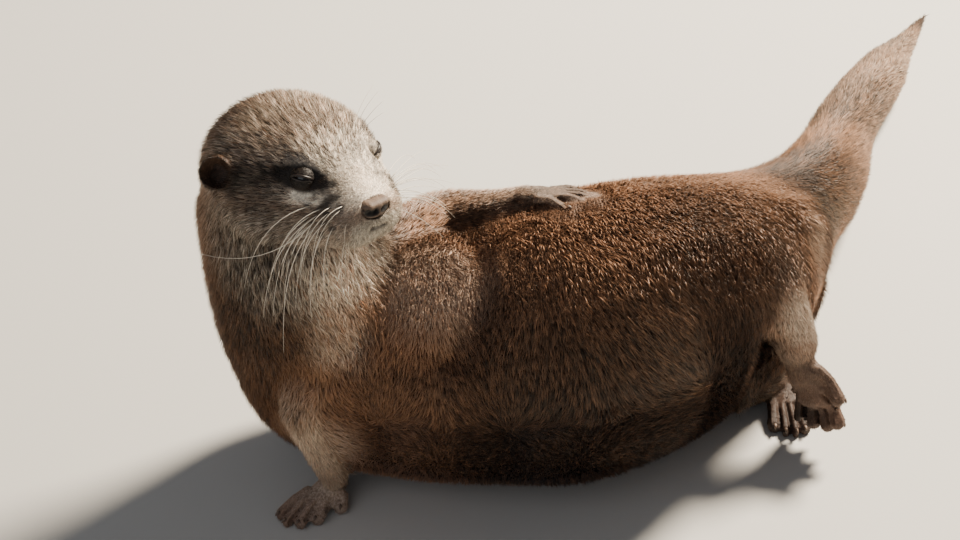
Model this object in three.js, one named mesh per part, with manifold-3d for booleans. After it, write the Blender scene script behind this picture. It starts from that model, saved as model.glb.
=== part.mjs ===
// A small-clawed otter lying on its right side with its head raised, as a life-size model, in millimetres.
// +Z is up from the floor. +X runs along the trunk from the chest to the hips, and the back faces +Y.
// Every solid reaches out to the tips of the coat. Neighbouring solids keep a gap of GAP to each other.
import * as THREE from "three";
import { mergeVertices } from "three/addons/utils/BufferGeometryUtils.js";
import Module from "manifold-3d";

const wasm = await Module();
wasm.setup();

const GAP = 0.3;

const COLOURS = { coat: 0x6b4a33, pale: 0x9c8a74, skin: 0x57433a, eye: 0x120c0a, nose: 0x3a2c29 };
const finish = (color, roughness) => new THREE.MeshStandardMaterial({ color, roughness, metalness: 0 });
const COAT = finish(COLOURS.coat, 0.85);
const PALE_COAT = finish(COLOURS.pale, 0.85);
const BARE_SKIN = finish(COLOURS.skin, 0.6);
const EYE_GLOSS = finish(COLOURS.eye, 0.08);
const NOSE_LEATHER = finish(COLOURS.nose, 0.4);

const vec = (x, y, z) => new THREE.Vector3(x, y, z);
const signedPower = (value, power) => Math.sign(value) * Math.abs(value) ** power;

// ---- Lofts --------------------------------------------------------------------------------------

// A section of a loft: its centre, its half-sizes to the side, to the back and to the belly, which way the
// back faces, and how square it is (1 is an ellipse, less is fuller at the corners).
const section = (at, side, back, belly, faces, square = 1) => ({ at, side, back, belly, faces, square });

// The curves that a loft's sections define, all read at one parameter.
function curvesOf(sections) {
  const curve = (points) => new THREE.CatmullRomCurve3(points, false, "catmullrom", 0.5);
  return {
    centre: curve(sections.map((s) => s.at)),
    size: curve(sections.map((s) => vec(s.side, s.back, s.belly))),
    faces: curve(sections.map((s) => s.faces.clone().normalize())),
    square: curve(sections.map((s) => vec(s.square, 0, 0))),
  };
}

// One ring of a loft. ahead moves it along the centre line and shrink scales it, which rounds an end.
function ringOf(curves, along, sides, grow, ahead = 0, shrink = 1) {
  const t = curves.centre.getUtoTmapping(THREE.MathUtils.clamp(along, 0, 1));
  const tangent = curves.centre.getTangent(t);
  const back = curves.faces.getPoint(t).projectOnPlane(tangent).normalize();
  const side = vec(0, 0, 0).crossVectors(back, tangent);
  const size = curves.size.getPoint(t);
  const square = curves.square.getPoint(t).x;
  const centre = curves.centre.getPoint(t).addScaledVector(tangent, ahead);
  const points = Array.from({ length: sides }, (_, k) => {
    const angle = (2 * Math.PI * k) / sides;
    const across = (size.x + grow) * shrink * signedPower(Math.cos(angle), square);
    const depth = ((Math.sin(angle) > 0 ? size.y : size.z) + grow) * shrink;
    const up = depth * signedPower(Math.sin(angle), square);
    return centre.clone().addScaledVector(side, across).addScaledVector(back, up);
  });
  return { centre, points };
}

// A swelling of a loft's surface: vertices near at move outwards by lift, or inwards where it is below zero.
const bulge = (at, reach, lift) => ({ at, reach, lift });

const liftAt = (point, { at, reach, lift }) => lift * Math.exp(-((point.distanceTo(at) / reach) ** 2));

function swell(ring, bulges) {
  for (const point of ring.points) {
    const outwards = point.clone().sub(ring.centre).normalize();
    point.addScaledVector(outwards, bulges.reduce((sum, each) => sum + liftAt(point, each), 0));
  }
}

// A closed body through sections. from and to keep only a stretch of it, as shares of its length.
// roundStart and roundEnd are the lengths of its rounded ends, and an end with none is flat.
function loft(sections, options) {
  const { sides, spacing, capSteps, from = 0, to = 1, roundStart = 0, roundEnd = 0 } = options;
  const { grow = 0, bulges = [] } = options;
  const curves = curvesOf(sections);
  const length = curves.centre.getLength();
  const steps = Math.max(1, Math.round(((to - from) * length) / spacing));
  const rings = [];
  const capRing = (along, ahead, k) => {
    const angle = (k / capSteps) * (Math.PI / 2);
    return ringOf(curves, along, sides, grow, ahead * Math.sin(angle), Math.cos(angle));
  };
  if (roundStart) for (let k = capSteps - 1; k > 0; k--) rings.push(capRing(from, -(roundStart + grow), k));
  for (let k = 0; k <= steps; k++) rings.push(ringOf(curves, from + ((to - from) * k) / steps, sides, grow));
  if (roundEnd) for (let k = 1; k < capSteps; k++) rings.push(capRing(to, roundEnd + grow, k));
  rings.forEach((ring) => swell(ring, bulges));
  const poles = [
    ringOf(curves, from, sides, grow, roundStart ? -(roundStart + grow) : 0).centre,
    ringOf(curves, to, sides, grow, roundEnd ? roundEnd + grow : 0).centre,
  ];
  return closedSkin(rings, poles, sides);
}

// Joins rings into bands of triangles and closes both ends on their poles.
function closedSkin(rings, poles, sides) {
  const positions = [...rings.flatMap((ring) => ring.points), ...poles];
  const startPole = rings.length * sides;
  const index = [];
  for (let r = 0; r < rings.length - 1; r++) {
    for (let k = 0; k < sides; k++) {
      const [a, b] = [r * sides + k, r * sides + ((k + 1) % sides)];
      index.push(a, b, b + sides, a, b + sides, a + sides);
    }
  }
  const last = (rings.length - 1) * sides;
  for (let k = 0; k < sides; k++) {
    const next = (k + 1) % sides;
    index.push(startPole, next, k, startPole + 1, last + k, last + next);
  }
  return new THREE.BufferGeometry().setFromPoints(positions).setIndex(index);
}

// ---- Solids -------------------------------------------------------------------------------------

function solidOf(geometry) {
  const bare = geometry.clone();
  bare.deleteAttribute("normal");
  bare.deleteAttribute("uv");
  const merged = mergeVertices(bare, 1e-4);
  const vertProperties = new Float32Array(merged.attributes.position.array);
  const triVerts = new Uint32Array(merged.index.array);
  return new wasm.Manifold(new wasm.Mesh({ numProp: 3, vertProperties, triVerts }));
}

const joined = (...solids) => solids.reduce((whole, piece) => whole.add(piece));
const without = (solid, ...tools) => tools.reduce((rest, tool) => rest.subtract(tool), solid);

function boxSolid(low, high) {
  const size = high.clone().sub(low);
  const centre = low.clone().add(high).multiplyScalar(0.5);
  return solidOf(new THREE.BoxGeometry(size.x, size.y, size.z).translate(centre.x, centre.y, centre.z));
}

// The largest body of a solid: a cut can leave slivers, and a node is one body.
const mainBody = (solid) => solid.decompose().reduce((a, b) => (b.volume() > a.volume() ? b : a));

function meshOf(name, solid, material) {
  const found = mainBody(solid).getMesh();
  const positions = new Float32Array(found.numVert * 3);
  for (let i = 0; i < found.numVert; i++) {
    positions.set(found.vertProperties.subarray(i * found.numProp, i * found.numProp + 3), i * 3);
  }
  const geometry = new THREE.BufferGeometry();
  geometry.setAttribute("position", new THREE.BufferAttribute(positions, 3));
  geometry.setIndex(new THREE.BufferAttribute(found.triVerts, 1));
  geometry.computeVertexNormals();
  const mesh = new THREE.Mesh(geometry, material);
  mesh.name = name;
  return mesh;
}

const BELOW_FLOOR = boxSolid(vec(-400, -400, -100), vec(600, 700, 0));

// ---- Trunk, tail and neck -----------------------------------------------------------------------

const TAIL_SECTIONS = [
  section(vec(243, 397, 3), 2.5, 2.4, 2.4, vec(-0.3, 0.1, 1)),
  section(vec(233, 376, 5.5), 5.5, 5, 5, vec(-0.3, 0.1, 1)),
  section(vec(222, 353, 8.5), 8.5, 7.5, 7.5, vec(-0.3, 0.1, 1)),
  section(vec(211, 334, 11.5), 13.5, 11, 11, vec(-0.3, 0.1, 1)),
  section(vec(200, 309, 14), 19, 14, 14, vec(-0.4, 0.15, 0.9)),
  section(vec(184, 276, 16.5), 20.5, 17, 17, vec(-0.5, 0.15, 0.85)),
  section(vec(170, 243, 19.5), 20.5, 19, 19, vec(-0.55, 0.2, 0.8)),
  section(vec(159, 206, 25), 23, 23, 24, vec(-0.75, 0.3, 0.6)),
  section(vec(143, 168, 32), 27, 27, 28, vec(-0.85, 0.4, 0.4)),
];
const TRUNK_SECTIONS = [
  section(vec(123, 133, 40), 32, 32, 32, vec(-0.85, 0.5, 0.1)),
  section(vec(99, 88, 50), 46, 46, 44, vec(-0.75, 0.65, 0)),
  section(vec(73, 48, 60), 60, 59, 58, vec(-0.6, 0.78, -0.1)),
  section(vec(38, 19, 67), 68, 66, 69, vec(-0.4, 0.9, -0.2)),
  section(vec(0, 0, 68), 69, 67, 70, vec(-0.25, 0.95, -0.2)),
  section(vec(-38, -6, 63), 63, 62, 63, vec(-0.15, 0.97, -0.1)),
  section(vec(-74, -6, 61), 61, 60, 60, vec(-0.1, 1, 0)),
  section(vec(-98, -7, 59), 57, 56, 53, vec(-0.1, 1, 0)),
];
const SPINE = [...TAIL_SECTIONS, ...TRUNK_SECTIONS];
const SPINE_LOFT = { sides: 22, roundEnd: 46, capSteps: 3 };
const NECK = [
  section(vec(-104, -6, 54), 52, 48, 43, vec(0, 1, 0)),
  section(vec(-111, -7, 73), 51, 47, 43, vec(0, 1, 0)),
  section(vec(-120, -8, 95), 47.5, 44, 42, vec(0, 1, 0)),
  section(vec(-128, -6, 124), 43, 42, 40, vec(0, 1, 0)),
  section(vec(-133, 3, 156), 41, 39, 38, vec(0, 1, 0)),
];
const NECK_LOFT = { sides: 22, spacing: 12, roundStart: 44, roundEnd: 14, capSteps: 3 };

// Where a section lies in a loft, as a share of the loft's length.
function shareOf(sections, number) {
  const curve = curvesOf(sections).centre;
  const wanted = number / (sections.length - 1);
  let [low, high] = [0, 1];
  for (let k = 0; k < 30; k++) {
    const middle = (low + high) / 2;
    if (curve.getUtoTmapping(middle) < wanted) low = middle;
    else high = middle;
  }
  return low;
}

const TAIL_MIDDLE = shareOf(SPINE, 5);
const TAIL_BASE = shareOf(SPINE, 8.6);
const NECK_BASE = shareOf(NECK, 1.6);

const TRUNK_BULGES = [
  bulge(vec(-95, 10, 105), 30, 5), // the shoulder on the upper side
  bulge(vec(5, -60, 40), 45, 4), // the belly, which sags towards the floor
  bulge(vec(101, 6, 50), 21, -16), // the groin between the belly and the hind legs
];

// A stretch of a loft, with half a gap at each end that meets another stretch. A grown stretch has none.
function stretch(sections, from, to, options) {
  const half = options.grow ? 0 : GAP / 2 / curvesOf(sections).centre.getLength();
  return solidOf(
    loft(sections, {
      bulges: TRUNK_BULGES,
      ...options,
      from: from ? from + half : 0,
      to: to < 1 ? to - half : 1,
      roundStart: from ? 0 : options.roundStart,
      roundEnd: to < 1 ? 0 : options.roundEnd,
    }),
  );
}

// ---- Head, in its own frame: +X to the nose, +Y to its left, +Z to the crown --------------------

const HEAD_AT = vec(-125.5, -3, 173.8);
const HEAD_YAW = THREE.MathUtils.degToRad(-48);
const HEAD_PITCH = THREE.MathUtils.degToRad(10);
const HEAD_ROLL = THREE.MathUtils.degToRad(-4);
const HEAD_UP = vec(0, 0, 1);

// Distance from the middle of the skull forward, the height of the centre line, then the half-sizes.
const headSection = (x, z, side, top, low, square = 1) =>
  section(vec(x, 0, z), side, top, low, HEAD_UP, square);
const HEAD_SECTIONS = [
  headSection(-35, -1, 24, 21, 22),
  headSection(-26, -1, 35.5, 29, 30, 0.94),
  headSection(-12, -2, 39.5, 32.5, 35, 0.93),
  headSection(2, -2, 39, 33, 36.5, 0.93),
  headSection(15, -2, 37, 32, 35, 0.93),
  headSection(27, -3, 31.5, 29, 31, 0.95),
  headSection(37, -5, 26, 24, 25, 0.95),
  headSection(47, -8, 22.5, 18.5, 18.5, 0.92),
  headSection(56, -9, 17.5, 13, 13.5, 0.95),
];
const HEAD_BACK = 9;
const MUZZLE_FRONT = 7;

const bothSides = (x, y, z, reach, lift) => [y, -y].map((side) => bulge(vec(x, side, z), reach, lift));
const HEAD_BULGES = [
  ...bothSides(2, 36, -18, 16, 3), // cheeks
  ...bothSides(51, 15, -11, 8, 3.2), // whisker pads
  ...bothSides(29, 17, 20, 8, 1.5), // brows
  ...bothSides(37, 21, 8, 7, -2.5), // eye sockets
  bulge(vec(60, 0, -22), 7, -2.5), // below the lip
];

function headSolid(grow = 0) {
  return solidOf(
    loft(HEAD_SECTIONS, {
      sides: 24,
      spacing: 7.2,
      capSteps: 3,
      roundStart: HEAD_BACK,
      roundEnd: MUZZLE_FRONT,
      grow,
      bulges: HEAD_BULGES,
    }),
  );
}

const EYE_RADIUS = 5;
const EYE_AT = vec(35, 18.5, 10.5);
const eyeSolid = (side, grow = 0) =>
  solidOf(new THREE.SphereGeometry(EYE_RADIUS + grow, 12, 8).translate(EYE_AT.x, side * EYE_AT.y, EYE_AT.z));

// The nose pad.
const NOSE_AT = vec(59.8, 0, -2.6);
const NOSE_SIZE = { length: 11, width: 15.5, height: 9 };
function noseSolid(grow = 0) {
  const scale = (size) => size / 2 + grow;
  const pad = new THREE.SphereGeometry(1, 12, 8);
  pad.scale(scale(NOSE_SIZE.length), scale(NOSE_SIZE.width), scale(NOSE_SIZE.height));
  pad.translate(NOSE_AT.x, NOSE_AT.y, NOSE_AT.z);
  return solidOf(pad);
}

// Round ears: cups whose backs grow out of the skull and which open forwards, outwards and a little upwards.
// The left one is held back against the head.
const EARS = {
  ear_right: { at: vec(0, -41, 10.3), opens: vec(0.6, -0.68, 0.42) },
  ear_left: { at: vec(-7, 40, 2), opens: vec(0.35, 0.9, 0.15) },
};
const EAR_RADIUS = 8.6;
const EAR_DEPTH = 6;
function earSolid({ at, opens }) {
  const turn = new THREE.Quaternion().setFromUnitVectors(vec(0, 0, 1), opens.clone().normalize());
  const dome = (radius, depth, ahead, rows) => {
    const round = new THREE.SphereGeometry(1, 12, rows).rotateX(Math.PI / 2).scale(radius, radius, depth);
    return solidOf(round.translate(0, 0, ahead).applyQuaternion(turn).translate(at.x, at.y, at.z));
  };
  const cup = dome(EAR_RADIUS, EAR_DEPTH, 0, 8);
  const hollow = dome(EAR_RADIUS * 0.84, EAR_DEPTH * 0.8, EAR_DEPTH * 0.65, 6);
  const opening = dome(EAR_RADIUS * 1.3, EAR_DEPTH, EAR_DEPTH * 1.35, 6);
  return without(cup, hollow, opening);
}

// ---- Legs ---------------------------------------------------------------------------------------

// A leg is two lofts, from its root in the trunk to the middle joint and from there to the wrist or heel.
const legSection = (at, across, deep, faces) => section(at, across, deep, deep, faces);

const LEGS = {
  fore_right: {
    upper: [
      legSection(vec(-112, -22, 86), 20, 20, vec(-1, 0, 0)),
      legSection(vec(-119, -38, 79), 16, 16, vec(-1, 0, 0)),
      legSection(vec(-125, -50, 72), 10.5, 10.5, vec(-1, 0, 0)),
    ],
    lower: [
      legSection(vec(-125.5, -53, 70), 10, 9.5, vec(-1, 0, 0)),
      legSection(vec(-122, -50, 53), 9, 8.3, vec(-1, 0, 0)),
      legSection(vec(-115.8, -47, 35), 8.5, 8, vec(-1, 0, 0)),
      legSection(vec(-109.5, -44.5, 17), 8, 7.5, vec(-1, 0, 0)),
    ],
  },
  fore_left: {
    upper: [
      legSection(vec(-92, 8, 100), 20, 20, vec(0, 0, 1)),
      legSection(vec(-76, 24, 112), 16, 14, vec(0, 0, 1)),
      legSection(vec(-60, 36, 118), 12, 11, vec(0, 0, 1)),
    ],
    lower: [
      legSection(vec(-58, 37, 118), 11.5, 10.5, vec(0, 0, 1)),
      legSection(vec(-46, 35, 121), 10, 9.5, vec(0, 0, 1)),
      legSection(vec(-31, 32, 126.3), 7.5, 6.8, vec(0, 0, 1)),
      legSection(vec(-20, 31, 130.3), 6, 5.5, vec(0, 0, 1)),
    ],
  },
  hind_left: {
    upper: [
      legSection(vec(110, 86, 59), 36, 34, vec(0, 0, 1)),
      legSection(vec(103, 70, 77), 31, 27, vec(0, 0, 1)),
      legSection(vec(96, 54, 90), 23, 21, vec(0, 0, 1)),
    ],
    lower: [
      legSection(vec(95.5, 51, 91), 21, 19, vec(1, 0, 0)),
      legSection(vec(102, 32, 86), 18, 17, vec(1, 0, 0)),
      legSection(vec(109, 14, 75), 15, 14.5, vec(1, 0, 0)),
      legSection(vec(116.5, 4, 59), 13, 12, vec(1, 0, 0)),
    ],
  },
  hind_right: {
    upper: [
      legSection(vec(126, 80, 44), 19, 18, vec(0, 0, 1)),
      legSection(vec(107, 50, 34), 23, 22, vec(0, 0, 1)),
      legSection(vec(88, 22, 24), 18, 17, vec(0, 0, 1)),
    ],
    lower: [
      legSection(vec(88, 20, 20), 15, 14, vec(0, 0, 1)),
      legSection(vec(98, 28, 15), 13, 12, vec(0, 0, 1)),
      legSection(vec(110, 36, 12), 10, 10, vec(0, 0, 1)),
    ],
  },
};

function legSolid(sections, grow = 0) {
  const last = sections[sections.length - 1];
  const ends = { roundStart: sections[0].side * 0.6, roundEnd: last.side * 0.7 };
  return solidOf(loft(sections, { sides: 11, spacing: 12, capSteps: 2, ...ends, grow }));
}

// ---- Paws, in their own frame: +X to the toes, +Z up from the sole ------------------------------

// Toes are listed from the outer one to the inner one, as an angle in degrees from the way the paw points
// and a length, and the inner one grows further back on the palm. drop is how far their tips lie below the
// wrist, and arch is how far their middles rise.
function pawSolid({ palm, toes, toeRadius, drop, arch }) {
  const up = vec(0, 0, 1);
  const [back, front] = [-palm.length / 2, palm.length / 2];
  const palmSection = (x, sink, width, height) =>
    section(vec(x, 0, -drop * sink), palm.width * width, palm.height * height, palm.height * height, up);
  const palmSolid = solidOf(
    loft(
      [
        palmSection(back, 0, 0.34, 0.5),
        palmSection(0, 0.2, 0.44, 0.5),
        palmSection(front * 0.8, 0.35, 0.5, 0.42),
      ],
      { sides: 10, spacing: 9, capSteps: 2, roundStart: 5, roundEnd: 5 },
    ),
  );
  const toeSolids = toes.map(([degrees, length], k) => {
    const angle = THREE.MathUtils.degToRad(degrees);
    const innermost = k === toes.length - 1;
    const across = (k / (toes.length - 1) - 0.5) * palm.width * 0.76;
    const root = vec(front * (innermost ? -0.3 : 0.4), across, -drop * 0.3);
    const onWay = (share, height) =>
      root.clone().add(vec(Math.cos(angle) * length * share, Math.sin(angle) * length * share, height));
    return solidOf(
      loft(
        [
          section(root, toeRadius, toeRadius, toeRadius, up),
          section(onWay(0.5, arch - drop * 0.2), toeRadius * 0.88, toeRadius * 0.85, toeRadius * 0.85, up),
          section(onWay(0.88, -drop * 0.6), toeRadius * 1.05, toeRadius, toeRadius, up),
        ],
        { sides: 6, spacing: 8, capSteps: 2, roundStart: 1, roundEnd: toeRadius },
      ),
    );
  });
  const reach = Math.max(...toes.map(([, length]) => length));
  const web = solidOf(
    loft(
      [
        section(vec(front * 0.4, 0, -drop * 0.35), palm.width * 0.45, 1.6, 1.6, up),
        section(vec(front * 0.4 + reach * 0.5, 0, -drop * 0.5), palm.width * 0.56, 0.9, 0.9, up),
      ],
      { sides: 8, spacing: 14, capSteps: 2, roundStart: 1, roundEnd: 2 },
    ),
  );
  return joined(palmSolid, web, ...toeSolids);
}

const FORE_PAW = {
  palm: { length: 20, width: 18, height: 10 },
  toes: [
    [-18, 19],
    [-8, 23],
    [1, 24],
    [9, 21],
    [28, 17],
  ],
  toeRadius: 4,
  drop: 4,
  arch: 1.5,
};
// The paw that the otter leans on has its inner toes bent.
const LEANING_PAW = {
  ...FORE_PAW,
  toes: [
    [-14, 20],
    [-8, 22],
    [0, 19],
    [9, 12],
    [32, 7],
  ],
};
const HIND_PAW = {
  palm: { length: 36, width: 25, height: 14 },
  toes: [
    [-22, 20],
    [-10, 24],
    [1, 25],
    [10, 23],
    [24, 21],
  ],
  toeRadius: 4.2,
  drop: 3,
  arch: 1.5,
};
// The toes of the paw that the otter lies on are held together.
const CLOSED_HIND_PAW = {
  ...HIND_PAW,
  palm: { length: 34, width: 19, height: 12 },
  toes: HIND_PAW.toes.map(([angle, length]) => [angle * 0.35, length]),
};

// Where the middle of each palm is, which way its toes point, and which way the back of the paw faces. A
// paw's outer toe is on its right, and a left paw is mirrored.
const pawPlace = (shape, at, toes, back, left = false) => ({ shape, at, toes, back, left });
const PAWS = {
  fore_right: pawPlace(LEANING_PAW, vec(-114, -44.5, 8), vec(-0.55, -0.83, -0.06), vec(0, 0, 1)),
  fore_left: pawPlace(FORE_PAW, vec(-9, 30, 132), vec(1, -0.03, 0), vec(0, 0.35, 1), true),
  hind_left: pawPlace(HIND_PAW, vec(122.5, 1, 43), vec(0.46, -0.2, -0.86), vec(0.62, 0.7, 0.15), true),
  hind_right: pawPlace(CLOSED_HIND_PAW, vec(117.5, 33.5, 6.2), vec(0.1, -0.98, -0.03), vec(0, 0, 1)),
};

function placedPaw({ shape, at, toes, back, left }) {
  const forward = toes.clone().normalize();
  const side = vec(0, 0, 0).crossVectors(back, forward).normalize();
  const up = vec(0, 0, 0).crossVectors(forward, side);
  const matrix = new THREE.Matrix4().makeBasis(forward, left ? side.negate() : side, up).setPosition(at);
  return pawSolid(shape).transform(matrix.toArray());
}

// ---- The otter ----------------------------------------------------------------------------------

const otter = new THREE.Group();
otter.name = "otter";

function buildHead() {
  const group = new THREE.Group();
  group.position.copy(HEAD_AT);
  group.rotation.set(HEAD_ROLL, -HEAD_PITCH, HEAD_YAW, "ZYX");
  const ears = Object.entries(EARS).map(([name, ear]) =>
    meshOf(name, without(earSolid(ear), headSolid(GAP)), COAT),
  );
  const eyes = [1, -1].map((side) => eyeSolid(side));
  const sockets = [1, -1].map((side) => eyeSolid(side, GAP));
  const head = without(headSolid(), ...sockets, noseSolid(GAP));
  group.add(
    meshOf("head", head, COAT),
    ...ears,
    meshOf("eye_left", eyes[0], EYE_GLOSS),
    meshOf("eye_right", eyes[1], EYE_GLOSS),
    meshOf("nose", noseSolid(), NOSE_LEATHER),
  );
  otter.add(group);
  group.updateMatrixWorld(true);
  return group.matrixWorld.toArray();
}

function buildOtter() {
  const headPlace = buildHead();
  const headTool = headSolid(GAP).transform(headPlace);
  const eyeTools = [1, -1].map((side) => eyeSolid(side, GAP).transform(headPlace));

  const tailEnd = stretch(SPINE, 0, TAIL_MIDDLE, { ...SPINE_LOFT, spacing: 20, roundStart: 4 });
  const tailRoot = (grow = 0) => stretch(SPINE, TAIL_MIDDLE, TAIL_BASE, { ...SPINE_LOFT, spacing: 20, grow });
  const body = (grow = 0) => stretch(SPINE, TAIL_BASE, 1, { ...SPINE_LOFT, spacing: 16, grow });
  const breast = (grow = 0) => stretch(NECK, 0, NECK_BASE, { ...NECK_LOFT, grow });
  const neck = (grow = 0) => stretch(NECK, NECK_BASE, 1, { ...NECK_LOFT, grow });
  const coreTool = joined(body(GAP), breast(GAP), neck(GAP), tailRoot(GAP));

  otter.add(meshOf("tail_end", without(tailEnd, BELOW_FLOOR), COAT));
  otter.add(meshOf("tail_root", without(tailRoot(), BELOW_FLOOR), COAT));
  otter.add(meshOf("trunk", without(joined(body(), breast()), BELOW_FLOOR), COAT));
  otter.add(meshOf("neck", without(neck(), body(GAP), headTool, ...eyeTools, BELOW_FLOOR), PALE_COAT));

  for (const [name, leg] of Object.entries(LEGS)) {
    const upper = without(legSolid(leg.upper), coreTool, headTool, BELOW_FLOOR);
    const lower = without(legSolid(leg.lower), legSolid(leg.upper, GAP), coreTool, headTool, BELOW_FLOOR);
    const paw = without(
      placedPaw(PAWS[name]),
      legSolid(leg.lower, GAP),
      legSolid(leg.upper, GAP),
      coreTool,
      BELOW_FLOOR,
    );
    otter.add(meshOf(`${name}_upper_leg`, upper, COAT));
    otter.add(meshOf(`${name}_lower_leg`, lower, COAT));
    otter.add(meshOf(`${name}_paw`, paw, BARE_SKIN));
  }
}

buildOtter();

// The origin is on the floor, under the middle of the otter's box.
const box = new THREE.Box3().setFromObject(otter, true);
const middle = box.getCenter(vec(0, 0, 0));
otter.position.set(-middle.x, -middle.y, 0);

export default otter;
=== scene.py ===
"""A life-size otter lying on its flank with its head and breast propped up.

One skin stands for all the flesh solids. Eyes, lid rims, nose, whiskers and claws are pieces of their own,
and the coat is solid tufts that grow out of the skin along the lie of the fur.
Tables are in millimetres. Meshes are in metres, in the frame of the solids.
"""

import itertools
import math

import bpy
import numpy as np
from mathutils import Matrix, Vector
from mathutils.bvhtree import BVHTree


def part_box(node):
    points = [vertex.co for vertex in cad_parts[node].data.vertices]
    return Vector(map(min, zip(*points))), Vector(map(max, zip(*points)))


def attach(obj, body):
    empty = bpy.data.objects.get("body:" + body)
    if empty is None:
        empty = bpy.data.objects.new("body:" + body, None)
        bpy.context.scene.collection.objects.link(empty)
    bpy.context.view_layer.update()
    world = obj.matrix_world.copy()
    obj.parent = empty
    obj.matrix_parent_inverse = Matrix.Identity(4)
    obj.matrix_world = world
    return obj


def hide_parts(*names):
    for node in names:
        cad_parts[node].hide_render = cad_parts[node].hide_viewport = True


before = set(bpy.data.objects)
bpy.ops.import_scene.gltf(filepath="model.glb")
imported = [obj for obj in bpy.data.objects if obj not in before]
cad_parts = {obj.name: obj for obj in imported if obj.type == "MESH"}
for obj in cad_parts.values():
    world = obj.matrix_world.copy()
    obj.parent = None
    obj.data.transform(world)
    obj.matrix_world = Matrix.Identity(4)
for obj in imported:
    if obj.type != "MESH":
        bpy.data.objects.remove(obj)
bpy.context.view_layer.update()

MM = 0.001

# ---- shader nodes


def node(tree, kind, settings=None, links=None):
    """Adds a shader node. Settings go to its properties or its sockets, and links feed its sockets."""
    made = tree.nodes.new(kind)
    for name, value in (settings or {}).items():
        if isinstance(name, str) and hasattr(made, name):
            setattr(made, name, value)
        else:
            made.inputs[name].default_value = value
    for name, source in (links or {}).items():
        tree.links.new(source, made.inputs[name])
    return made


def linear(colour):
    """An sRGB hex colour as the linear values that shaders take."""
    parts = [int(colour[i : i + 2], 16) / 255 for i in (1, 3, 5)]
    return (*[p / 12.92 if p <= 0.04045 else ((p + 0.055) / 1.055) ** 2.4 for p in parts], 1.0)


def new_material(name):
    material = bpy.data.materials.new(name)
    material.use_nodes = True
    material.node_tree.nodes.clear()
    return material, material.node_tree


def finish_material(tree, settings, links=None):
    shader = node(tree, "ShaderNodeBsdfPrincipled", settings, links)
    node(tree, "ShaderNodeOutputMaterial", links={"Surface": shader.outputs[0]})


def attribute(tree, name):
    return node(tree, "ShaderNodeAttribute", {"attribute_name": name}).outputs["Fac"]


def noise(tree, size, detail):
    """Soft noise fixed to the piece, with features of this size in millimetres."""
    place = node(tree, "ShaderNodeTexCoord").outputs["Object"]
    settings = {"Scale": 1 / (size * MM), "Detail": detail}
    return node(tree, "ShaderNodeTexNoise", settings, {"Vector": place}).outputs["Fac"]


def cells(tree, size):
    """Distance to the middles of cells of this size in millimetres, fixed to the piece."""
    place = node(tree, "ShaderNodeTexCoord").outputs["Object"]
    made = node(tree, "ShaderNodeTexVoronoi", {"Scale": 1 / (size * MM)}, {"Vector": place})
    return made.outputs["Distance"]


def relief(tree, height, strength, depth, invert=False, over=None):
    """A bump of this depth in millimetres, over another one if it is given."""
    settings = {"Strength": strength, "Distance": depth * MM, "invert": invert}
    links = {"Height": height, **({} if over is None else {"Normal": over})}
    return node(tree, "ShaderNodeBump", settings, links).outputs[0]


def remapped(tree, value, low, high, new_low, new_high):
    settings = {"From Min": low, "From Max": high, "To Min": new_low, "To Max": new_high}
    return node(tree, "ShaderNodeMapRange", settings, {"Value": value}).outputs[0]


def mixed(tree, share, first, second):
    """A mix of two colours, each a hex value or another node's colour."""
    made = node(tree, "ShaderNodeMix", {"data_type": "RGBA"}, {0: share})
    for socket, value in ((made.inputs[6], first), (made.inputs[7], second)):
        if isinstance(value, str):
            socket.default_value = linear(value)
        else:
            tree.links.new(value, socket)
    return made.outputs[2]


# ---- camera, floor and light

CAMERA_AT = (-0.07515, -1.05643, 0.8068)
CAMERA_TILT = math.radians(52)
LENS = 89.1
LIT_SPOT = (-0.03, -0.05, 0.08)


def area_light(name, place, size, power, colour):
    """A round light that looks at the animal."""
    aim = (Vector(LIT_SPOT) - Vector(place)).to_track_quat("-Z", "Y").to_euler()
    bpy.ops.object.light_add(type="AREA", location=place, rotation=aim)
    light = bpy.context.object
    light.name = name
    light.data.shape = "DISK"
    light.data.size = size
    light.data.energy = power
    light.data.color = linear(colour)[:3]


bpy.ops.object.select_all(action="DESELECT")
bpy.ops.object.camera_add(location=CAMERA_AT, rotation=(CAMERA_TILT, 0, 0))
camera = bpy.context.object
camera.data.lens = LENS
camera.data.sensor_width = 36
bpy.context.scene.camera = camera

bpy.ops.mesh.primitive_plane_add(size=9)
studio_floor = bpy.context.object
studio_floor.name = "studio_floor"
floor_material, tree = new_material("floor_pale_paper")
finish_material(tree, {"Base Color": linear("#cdcbc6"), "Roughness": 0.85})
studio_floor.data.materials.append(floor_material)

area_light("key_light", (0.88, 0.75, 1.4), 0.5, 152, "#fff0da")
area_light("fill_light", (-0.9, -1.3, 1.0), 1.6, 4.5, "#f2f3fa")
studio = bpy.context.scene.world or bpy.data.worlds.new("studio")
bpy.context.scene.world = studio
studio.use_nodes = True
studio.node_tree.nodes.clear()
glow = node(studio.node_tree, "ShaderNodeBackground", {"Color": linear("#e8ecf2"), "Strength": 0.17})
node(studio.node_tree, "ShaderNodeOutputWorld", links={"Surface": glow.outputs[0]})

# ---- the animal's own measures

# The solids' tables are drawn about the middle of the belly. This shift takes them into the frame.
SHIFT = np.array((-36.148, -163.930, 0.0))

HEAD_AT = np.array((-125.5, -3.0, 173.8)) + SHIFT
HEAD_TURN = np.array(
    Matrix.Rotation(math.radians(-48), 3, "Z")
    @ Matrix.Rotation(math.radians(-10), 3, "Y")
    @ Matrix.Rotation(math.radians(-4), 3, "X")
)


def to_head(points):
    """Points in the head's own frame: X to the nose, Y to the otter's left, Z to the crown."""
    return (np.asarray(points, float) - HEAD_AT) @ HEAD_TURN


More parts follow.
